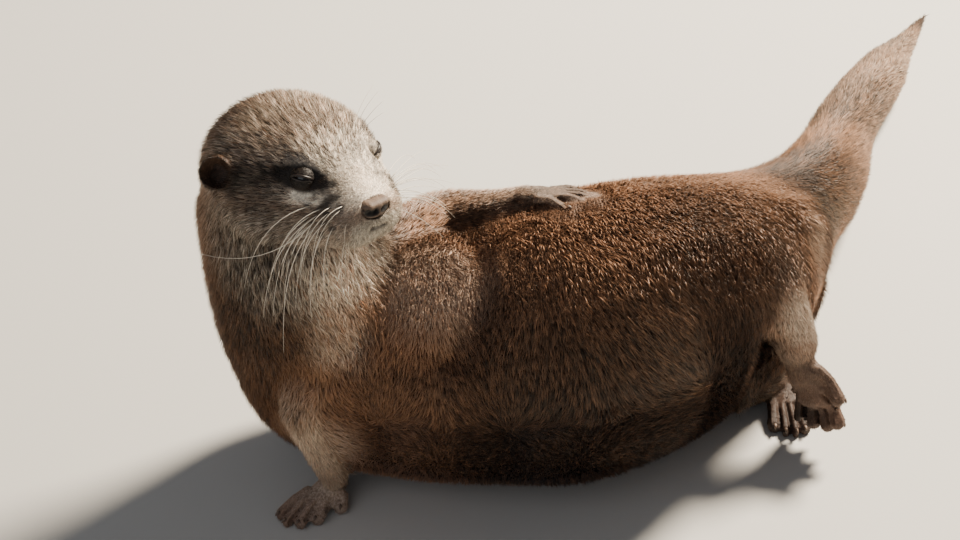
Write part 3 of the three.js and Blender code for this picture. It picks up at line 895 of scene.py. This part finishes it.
def coat_tone_and_painted_light(points, normals):
    """How much lighter or darker than its usual tone the coat is, mostly as painted light and shade."""
    at = points - SHIFT
    head = to_head(points)
    shade = np.zeros(len(points))
    for place, reach, amount in TONE_AND_PAINTED_LIGHT:
        shade += amount * fading(at, place, 0.3 * reach, reach)
    # The back is browner than the flanks, and the belly is darkened as painted shade.
    shade -= 0.5 * smooth(normals[:, 1], 0.15, 0.7) * smooth(-head[:, 0], 0, 40)
    below = smooth(normals @ unit(np.array((0.2, -0.93, -0.3))), 0.05, 0.95)
    shade -= 0.6 * below * smooth(at[:, 0], -60, -36) * (1 - smooth(at[:, 0], 92, 118))
    # Painted light on the crown, on the patch under each eye and on the top of the muzzle, and painted shade
    # on the cheeks.
    shade += 0.28 * smooth(head[:, 2], 10, 24)
    for name, side in MIRRORED:
        shade += 1.2 * under_eye(head, side, 3)
        shade += 0.5 * fading(head, (54, 7 * side, 8), 8, 18)
        shade -= 0.3 * fading(head, (6, 32 * side, -12), 14, 34)
    return shade


# ---- coat

COAT_PIECES = 7
TUFTS_IN_ALL = 343000
LOCKS_IN_ALL = 9000
# Half the side of a tuft's patch on the skin's unwrap.
PATCH = 0.0015
# The tufts stay this far above the floor.
FLOOR_GAP = 0.15
# Size of the groups that tips gather in, on long and on short fur, and where fur counts as short.
GROUP, SHORT_GROUP, SHORT_FUR = 2.7, 1.7, 4.6
random = np.random.default_rng(20)

skin_points = points_of(skin)
skin_normals = normals_of(skin)
skin_flow, skin_depth, skin_length, skin_bare, leg_pale = lie_of_coat(skin_points, on_paw)
head_pale, skin_dark = markings(skin_points)
skin_values = {
    "place": skin_points, "normal": skin_normals, "flow": skin_flow, "length": skin_length,
    "depth": skin_depth, "pale": np.maximum(leg_pale, head_pale), "dark": skin_dark, "bare": skin_bare,
    "shade": coat_tone_and_painted_light(skin_points, skin_normals),
}
skin.data.calc_loop_triangles()
corners = read(skin.data.loop_triangles, "vertices", 3, np.int32)
corner_loops = read(skin.data.loop_triangles, "loops", 3, np.int32)
corner_uv = read(skin.data.uv_layers["OFBake"].data, "uv", 2)[corner_loops]
triangle = skin_points[corners]
area = size_of(np.cross(triangle[:, 1] - triangle[:, 0], triangle[:, 2] - triangle[:, 0])) / 2


def coatless(points):
    """True where nothing grows: in the eye openings and the ears' cups, and behind the nose pad."""
    inside = past_nose_pad(to_head(points), (6.5, 7.9, 4.3)) < 1
    for socket in SOCKETS:
        beyond, radius = socket.outside(points)
        inside |= (beyond < 6) & (radius < 6.6)
    for name in EARS:
        inside |= ear_parts(points, name)[0] > 0.6
    return inside


def scatter(count, weight):
    """Roots spread over the skin by this weight for each of its triangles."""
    chance = area * weight
    chosen = random.choice(len(area), size=count, p=chance / chance.sum())
    first, second = random.random((2, count))
    flip = first + second > 1
    first[flip], second[flip] = 1 - first[flip], 1 - second[flip]
    shares = np.stack((1 - first - second, first, second), axis=1)[:, :, None]
    roots = {"uv": (corner_uv[chosen] * shares).sum(axis=1)}
    for name, values in skin_values.items():
        rows = values.reshape(len(values), -1)
        roots[name] = (rows[corners[chosen]] * shares).sum(axis=1).squeeze()
    roots["normal"] = unit(roots["normal"])
    # By the lids the fur is shortest.
    for socket in SOCKETS:
        farther = 1 - fading(roots["place"], socket.centre, 8, 12)
        roots["length"] *= 0.45 + 0.55 * farther
        roots["depth"] *= 0.3 + 0.7 * farther
    keep = ~coatless(roots["place"])
    return {name: values[keep] for name, values in roots.items()}


def comb(roots, stray):
    """The way each tuft points along the skin, a little astray, and the way across it."""
    normal = roots["normal"]
    swirl = np.stack([lumps(roots["place"], 16, seed) for seed in (11, 12, 13)], axis=1)
    flow = unit(roots["flow"]) + 0.26 * swirl
    flow = unit(flow - normal * (flow * normal).sum(axis=1, keepdims=True))
    turn = random.normal(0, stray, len(flow))[:, None]
    flow = unit(flow + np.cross(normal, flow) * turn)
    return flow, np.cross(normal, flow)


def gather(place, normal, size, seed):
    """The pull of tips towards the middles of groups of about this size, and each group's own tone."""
    warped = place + size * 0.6 * np.stack([lumps(place, size * 1.7, seed + n) for n in range(3)], axis=1)
    cell = np.floor(warped / size)
    key = cell @ np.array((12.99, 78.23, 37.72)) + seed
    jitter = np.stack([scattered(key + n * 5.1) for n in range(3)], axis=1)
    pull = (cell + 0.5 + 0.35 * jitter) * size - warped
    pull -= normal * (pull * normal).sum(axis=1, keepdims=True)
    return pull, scattered(key * 1.7, 23758.5453)


def leaning(flow, normal, rise):
    """Ways that follow the flow but rise from the skin by this sine."""
    return flow * np.sqrt(1 - rise[:, None] ** 2) + normal * rise[:, None]


def coat_piece(name, roots, tuft_points, tuft_faces, tuft_patch, along, tone):
    """Joins tufts into a piece, from arrays of each of their points in turn, and lays their patches.

    Each patch sits at its tuft's root on the skin's own unwrap.
    """
    count, each = len(tone), len(tuft_points)
    points = np.stack(tuft_points, axis=1).reshape(-1, 3)
    points[:, 2] = np.maximum(points[:, 2], FLOOR_GAP)
    faces = np.array(tuft_faces)[None] + (np.arange(count) * each)[:, None, None]
    piece = new_piece(name, points, faces.reshape(-1, 3))
    pale = np.clip(roots["pale"] * (1 + 0.45 * random.normal(0, 1, count)), 0, 1)
    # The tone takes on the painted light and shade of the coat's lighter and darker parts.
    tone = tone + roots["shade"]
    for kind, values in (("pale", pale), ("dark", roots["dark"]), ("bare", roots["bare"]), ("tone", tone)):
        set_attribute(piece, kind, np.repeat(values, each))
    set_attribute(piece, "along", np.tile(along, count))
    spots = (roots["uv"][:, None, :] + np.array(tuft_patch)[None] * PATCH).reshape(-1, 2)
    index = read(piece.data.loops, "vertex_index", 1, np.int32)[:, 0]
    layer = piece.data.uv_layers.new(name="OFBake")
    layer.data.foreach_set("uv", spots[index].astype(np.float32).ravel())
    return piece


def grow_tufts(name, roots):
    """Short straight tufts, each a closed wedge of four faces with its point laid back."""
    count = len(roots["place"])
    normal, place = roots["normal"], roots["place"]
    flow, across = comb(roots, 0.16)
    length = roots["length"] * random.uniform(0.72, 1.18, count) * (1 + 0.16 * lumps(place, 13, 5))
    length *= np.where(random.random(count) < 0.06, 1.35, 1.0)
    width = 0.16 + 0.066 * length * random.uniform(0.7, 1.25, count)
    # The tips reach the outside of the coat.
    rise = np.clip(roots["depth"] / length * random.uniform(0.5, 1.6, count), 0.1, 0.75)
    pull, group_tone = gather(place, normal, GROUP, 41)
    small_pull, small_tone = gather(place, normal, SHORT_GROUP, 71)
    short = roots["length"] < SHORT_FUR
    pull, group_tone = np.where(short[:, None], small_pull, pull), np.where(short, small_tone, group_tone)
    reach = np.minimum(1, length / np.where(short, 3.6, 7))[:, None]
    tip = place + leaning(flow, normal, rise) * length[:, None] + 0.62 * reach * pull
    half = across * (width / 2)[:, None]
    root = place - normal * (0.25 + 0.05 * length)[:, None]
    keel = root + normal * (0.42 * width)[:, None]
    tone = 0.5 + 0.25 * random.normal(0, 1, count) + 0.36 * group_tone + 0.16 * lumps(place, 26, 8)
    # On the crown the groups differ more in tone.
    x, y, z = to_head(place).T
    crown = smooth(z, -2, 14) * smooth(x, -34, -10)
    tone += 0.3 * crown * np.sign(group_tone - 0.5) * np.sqrt(np.abs(2 * group_tone - 1))
    return coat_piece(
        name,
        roots,
        (root + half, root - half, keel, tip),
        ((0, 2, 3), (2, 1, 3), (1, 0, 3), (0, 1, 2)),
        ((-1, -1), (1, -1), (0, -0.6), (0, 1)),
        (0.0, 0.0, 0.0, 1.0),
        tone,
    )


def grow_locks(name, roots):
    """Longer bent locks for the places where the coat stands out."""
    count = len(roots["place"])
    normal, place = roots["normal"], roots["place"]
    flow, across = comb(roots, 0.2)
    length = roots["length"] * random.uniform(1.0, 1.45, count)
    width = 0.22 + 0.075 * length * random.uniform(0.8, 1.2, count)
    rise = np.clip(roots["depth"] / length * 1.25 * random.uniform(0.8, 1.4, count), 0.15, 0.7)
    pull, group_tone = gather(place, normal, 4.2, 51)
    middle = place + leaning(flow, normal, rise) * (0.55 * length)[:, None] + 0.3 * pull
    tip = middle + unit(flow + normal * (rise * 0.3)[:, None]) * (0.5 * length)[:, None] + 0.3 * pull
    half = across * (width / 2)[:, None]
    keel = normal * (0.45 * width)[:, None]
    root = place - normal * 0.6
    tone = 0.52 + 0.17 * random.normal(0, 1, count) + 0.2 * group_tone + 0.16 * lumps(place, 26, 8)
    return coat_piece(
        name,
        roots,
        (
            root + half, root - half, root + keel,
            middle + half * 0.8, middle - half * 0.8, middle + keel * 0.8, tip,
        ),
        (
            (0, 2, 5), (0, 5, 3), (2, 1, 4), (2, 4, 5), (1, 0, 3), (1, 3, 4), (3, 5, 6), (5, 4, 6),
            (4, 3, 6), (0, 1, 2),
        ),
        ((-1, -1), (1, -1), (0, -1), (-0.6, 0), (0.6, 0), (0, 0.2), (0, 1)),
        (0, 0, 0, 0.55, 0.55, 0.55, 1),
        tone,
    )


def per_triangle(values):
    return values[corners].mean(axis=1)


length_here = per_triangle(skin_length)
underneath = per_triangle(skin_points[:, 2] < 6) * 0.6
# Short fur needs more tufts to cover the skin.
density = (7.0 / length_here) ** 0.95 * (1 - underneath) * (1 - 0.75 * per_triangle(skin_bare))
coat_pieces = []
for number in range(COAT_PIECES):
    roots = scatter(TUFTS_IN_ALL // COAT_PIECES, density)
    coat_pieces.append(grow_tufts(f"coat_{number + 1}", roots))

# Place, reach and amount of the parts where the coat stands out in locks.
SHAGGY = (
    ((-118, -45, 118), 42, 1.0),  # throat
    ((-96, -52, 86), 30, 0.9),  # side of the breast
    ((118, 30, 70), 34, 0.6),  # groin
    ((176, 120, 70), 60, 0.5),  # rump
    ((205, 320, 15), 90, 0.35),  # tail
    ((20, 20, 132), 60, 0.45),  # flank
    ((95, 75, 110), 60, 0.5),  # hip
)
long_enough = smooth(length_here, 4.5, 7.0) * (underneath == 0)
lock_density = per_triangle(strongest(skin_points, SHAGGY)) * long_enough + 1e-6
coat_pieces.append(grow_locks("coat_locks", scatter(LOCKS_IN_ALL, lock_density)))

# ---- materials of skin and coat

# The colours at a tuft's root and at its tip; the dark roots are painted shade deep in the coat.
BROWN = ("#140b07", "#90694d")
PALE = ("#35281f", "#f6eedd")
BARE = ("#33251e", "#75594a")
DARK = ("#0c0806", "#221712")


def coat_colour(tree, along, tone):
    """Root to tip colour of brown, pale, dark and nearly bare coat, lightened or darkened by the tone, which
    carries painted light and shade.
    """
    ends = []
    for brown, pale, bare, dark in zip(BROWN, PALE, BARE, DARK):
        colour = mixed(tree, attribute(tree, "pale"), brown, pale)
        colour = mixed(tree, attribute(tree, "bare"), colour, bare)
        ends.append(mixed(tree, attribute(tree, "dark"), colour, dark))
    links = {0: mixed(tree, along, *ends), "Scale": remapped(tree, tone, -0.3, 1.5, 0.1, 2.06)}
    return node(tree, "ShaderNodeVectorMath", {"operation": "SCALE"}, links).outputs[0]


# Guard hair: dark at the root as painted shade deep in the coat, lighter at the tip, with a dull gloss along
# each tuft.
coat_material, tree = new_material("fur_guard_hair")
links = {0: attribute(tree, "along")}
along = node(tree, "ShaderNodeMath", {"operation": "POWER", 1: 0.7}, links).outputs[0]
finish_material(
    tree,
    {
        "Roughness": 0.42, "Specular IOR Level": 0.42,
        "Sheen Weight": 0.06, "Sheen Roughness": 0.4, "Sheen Tint": linear("#f6d3aa"),
    },
    {"Base Color": coat_colour(tree, along, attribute(tree, "tone"))},
)
for piece in coat_pieces:
    settle(piece, coat_material, "brown_coat")

# Underfur and the thin skin of the paws: matt, with bump as fine as 1 mm.
skin_material, tree = new_material("underfur_and_skin")
grain = noise(tree, 1.1, 4.0)
skin_relief = relief(tree, grain, 0.5, 0.4)
skin_relief = relief(tree, cells(tree, 1.6), 0.35, 0.3, over=skin_relief)
# The skin's tone takes on the same painted light and shade.
links = {0: noise(tree, 14, 2.0), 1: attribute(tree, "shade")}
tone = node(tree, "ShaderNodeMath", {"operation": "ADD"}, links).outputs[0]
colour = coat_colour(tree, remapped(tree, grain, 0.3, 0.7, 0.2, 0.6), tone)
matt = {"Roughness": 0.62, "Specular IOR Level": 0.35}
finish_material(tree, matt, {"Base Color": colour, "Normal": skin_relief})
for name in ("pale", "dark", "bare", "shade"):
    set_attribute(skin, name, skin_values[name])
settle(skin, skin_material, "brown_coat", *FLESH)

# ---- eyes, lid rims and nose


def unit_ball(name, segments, rings):
    """A ball of radius 1 mm, and the way from its middle to each of its points."""
    bpy.ops.mesh.primitive_uv_sphere_add(segments=segments, ring_count=rings, radius=MM)
    piece = bpy.context.object
    piece.name = name
    return piece, unit(points_of(piece))


def tube(name, paths, sides):
    """Tubes along paths of (point, radius), each closed at both ends."""
    all_points, all_faces = [], []
    base = 0
    for path in paths:
        centres = np.array([p for p, r in path], float)
        radii = np.array([r for p, r in path], float)
        ways = unit(np.gradient(centres, axis=0))
        first = unit(np.cross(ways, np.array((0.31, 0.17, 0.93))))
        second = np.cross(ways, first)
        angle = (np.arange(sides) * 2 * math.pi / sides)[None, :, None]
        ring_ways = np.cos(angle) * first[:, None] + np.sin(angle) * second[:, None]
        rings = centres[:, None] + radii[:, None, None] * ring_ways
        all_points += [rings.reshape(-1, 3), centres[[0, -1]]]
        last = base + (len(path) - 1) * sides
        start, end = last + sides, last + sides + 1
        for k in range(sides):
            after = (k + 1) % sides
            for row in range(base, last, sides):
                a, b = row + k, row + after
                all_faces += [(a, b, b + sides), (a, b + sides, a + sides)]
            all_faces += [(start, base + after, base + k), (end, last + k, last + after)]
        base = end + 1
    return new_piece(name, np.concatenate(all_points), np.array(all_faces))


# A dark iris about a black pupil, by the angle from the middle of the eye in parts of 90 degrees.
IRIS = ((0.24, "#2c170b"), (0.40, "#1d0f08"), (0.47, "#0a0605"), (0.62, "#3a2a24"))
eye_material, tree = new_material("eye_dark_brown_wet")
iris = node(tree, "ShaderNodeValToRGB")
tree.links.new(remapped(tree, attribute(tree, "off_axis"), 0.0, 90.0, 0.0, 1.0), iris.inputs[0])
ramp = iris.color_ramp
ramp.elements[0].color = linear("#050403")
ramp.elements[1].position = 0.20
ramp.elements[1].color = linear("#050403")
for position, colour in IRIS:
    ramp.elements.new(position).color = linear(colour)
finish_material(
    tree,
    {"Roughness": 0.12, "Specular IOR Level": 0.5, "Coat Weight": 0.5, "Coat Roughness": 0.05},
    {"Base Color": iris.outputs[0]},
)
for socket, name in zip(SOCKETS, ("right", "left")):
    eye, ways = unit_ball(f"eyeball_{name}", 48, 32)
    off_axis = np.degrees(np.arccos(np.clip(ways[:, 2], -1, 1)))
    # The cornea stands out before the iris.
    radius = EYE_RADIUS + 0.28 * (1 - smooth(off_axis, 20, 44))
    turn = np.array(Vector(socket.gaze).to_track_quat("Z", "Y").to_matrix())
    set_points(eye, (ways * radius[:, None]) @ turn.T + socket.centre)
    set_attribute(eye, "off_axis", off_axis)
    settle(eye, eye_material, "eye_gloss", f"eye_{name}")

lid_material, tree = new_material("lid_rim_bare_skin")
wrinkles = noise(tree, 0.7, 3.0)
colour = mixed(tree, wrinkles, "#0d0908", "#2a1e19")
wrinkles = relief(tree, wrinkles, 0.4, 0.15)
finish_material(tree, {"Roughness": 0.38}, {"Base Color": colour, "Normal": wrinkles})
for socket, name in zip(SOCKETS, ("right", "left")):
    steps = np.linspace(-socket.HALF_WIDTH, socket.HALF_WIDTH, 26)
    top, bottom = socket.lid_heights(steps)
    upper = socket.place(steps, top, LID_RADIUS)
    lower = socket.place(steps, bottom, LID_RADIUS - 0.05)
    rim = [(point, 0.62) for point in upper] + [(point, 0.5) for point in lower[::-1][1:-1]]
    settle(tube(f"lid_rim_{name}", [rim + rim[:1]], 8), lid_material, "bare_skin")

# The nose pad: bare pebbled leather round two comma-shaped nostrils, blackened inside as painted shade.
NOSE_HALF = np.array((5.4, 7.9, 4.3))


def shape_nose(ways):
    """The nose pad's points, in the head's frame about its middle, and 1 in its nostrils, where painted
    shade goes.
    """
    x, y, z = ways.T
    ways = unit(np.stack((x, y * (1 - 0.22 * smooth(-z, 0.0, 1.0)), z), axis=1))
    shaped = ways * (np.abs(ways) ** 2.6).sum(axis=1)[:, None] ** (-1 / 2.6) * NOSE_HALF
    deep = np.zeros(len(ways))
    for side in (-1, 1):
        path = ((5.2, 2.7 * side, -0.9), (4.6, 4.6 * side, -1.3), (3.4, 6.3 * side, -0.6))
        tail = ((3.4, 6.3 * side, -0.6), (1.4, 7.4 * side, 1.0))
        deep = np.maximum(deep, 3.0 * mound(near_path(shaped, path), 2.0))
        deep = np.maximum(deep, 1.3 * mound(near_path(shaped, tail), 0.9))
    groove = 0.55 * mound(shaped[:, 1], 0.55) * smooth(-shaped[:, 2], -2.5, 1.5)
    wing = 0.45 * mound(np.abs(shaped[:, 1]) - 4.6, 1.5) * smooth(shaped[:, 2], -0.8, 1.6)
    return shaped - unit(shaped) * (deep + groove - wing)[:, None], np.clip(deep / 1.2, 0, 1)


nose_pad, ways = unit_ball("nose_pad", 96, 64)
shaped, nostril_shade = shape_nose(ways)
set_points(nose_pad, from_head(shaped + to_head(NOSE) + (0, 0, 0.5)))
set_attribute(nose_pad, "nostril_shade", nostril_shade)
nose_material, tree = new_material("nose_leather")
colour = mixed(tree, noise(tree, 3, 3.0), "#54433b", "#84705f")
colour = mixed(tree, attribute(tree, "nostril_shade"), colour, "#050303")
pebbles = relief(tree, cells(tree, 0.75), 0.7, 0.16, invert=True)
leather = {"Roughness": 0.6, "Specular IOR Level": 0.4}
finish_material(tree, leather, {"Base Color": colour, "Normal": pebbles})
settle(nose_pad, nose_material, "nose_leather", "nose")

# ---- whiskers and claws


def whisker(start, way, droop, length, radius):
    """A whisker from the skin at start, all in the head's frame. It tapers and droops as it goes."""
    root = on_skin(start)
    way = unit(np.array(way, float))
    path = []
    for share in np.linspace(0, 1, 11):
        spot = root + length * (way * share + np.array(droop) * share**2)
        path.append((from_head(spot), radius * (1 - 0.8 * share)))
    return path


random = np.random.default_rng(7)
whiskers = []
for name, side in MIRRORED:
    near = side < 0
    for row, column in itertools.product(range(WHISKER_ROWS), range(WHISKER_COLUMNS)):
        way = (
            0.1 - 0.13 * column + random.uniform(-0.1, 0.1),
            side * (0.78 + 0.06 * column),
            (-0.1 if near else 0.3) - 0.2 * row + random.uniform(-0.15, 0.15),
        )
        droop = (
            0.02 - 0.02 * column,
            side * (-0.42 if near else -0.1),
            (-0.72 if near else -0.34) + random.uniform(-0.15, 0.12),
        )
        length = (23 + 5.0 * column if near else 30 + 5 * column) * random.uniform(0.8, 1.2)
        whiskers.append(whisker(whisker_root(row, column, side), way, droop, length, 0.18 + 0.02 * column))
# One stray whisker sweeps back under the cheek.
whiskers.append(whisker((42, -16, -8), (-0.25, -0.85, -0.62), (-0.3, 0.1, 0.4), 57, 0.26))
# Four stand on the left brow.
for number in range(4):
    start = (37 - 2 * number, 13.5, 22)
    way = (0.45 - 0.3 * number, 0.5 + 0.12 * number, 0.9)
    whiskers.append(whisker(start, way, (0.1, 0.1, -0.15), 17 + 3.5 * number, 0.18))
whisker_piece = tube("whiskers", whiskers, 5)
whisker_material, tree = new_material("whisker_keratin")
finish_material(tree, {"Base Color": linear("#f1e9da"), "Roughness": 0.35})
settle(whisker_piece, whisker_material, "pale_coat")

# Small blunt claws that hardly pass the toes' ends: place along and above the toe's tip, and radius.
CLAW = ((0, 0, 0.75), (0.9, 0.1, 0.85), (1.9, -0.3, 0.65), (2.7, -1.0, 0.25))
claws = []
for name, paw in PAWS.items():
    for root, middle, tip in toe_paths(name):
        way = unit((tip - root) * (1, 1, 0))
        start = tip + way * (paw["radius"] * 0.45) + (0, 0, paw["radius"] * 0.62)
        claws.append([(from_paw(start + way * x + (0, 0, z), name), r) for x, z, r in CLAW])
claw_piece = tube("claws", claws, 8)
claw_material, tree = new_material("claw_horn")
colour = mixed(tree, noise(tree, 0.8, 2.0), "#3b2c25", "#8f7a6a")
finish_material(tree, {"Roughness": 0.4}, {"Base Color": colour})
settle(claw_piece, claw_material, "bare_skin")
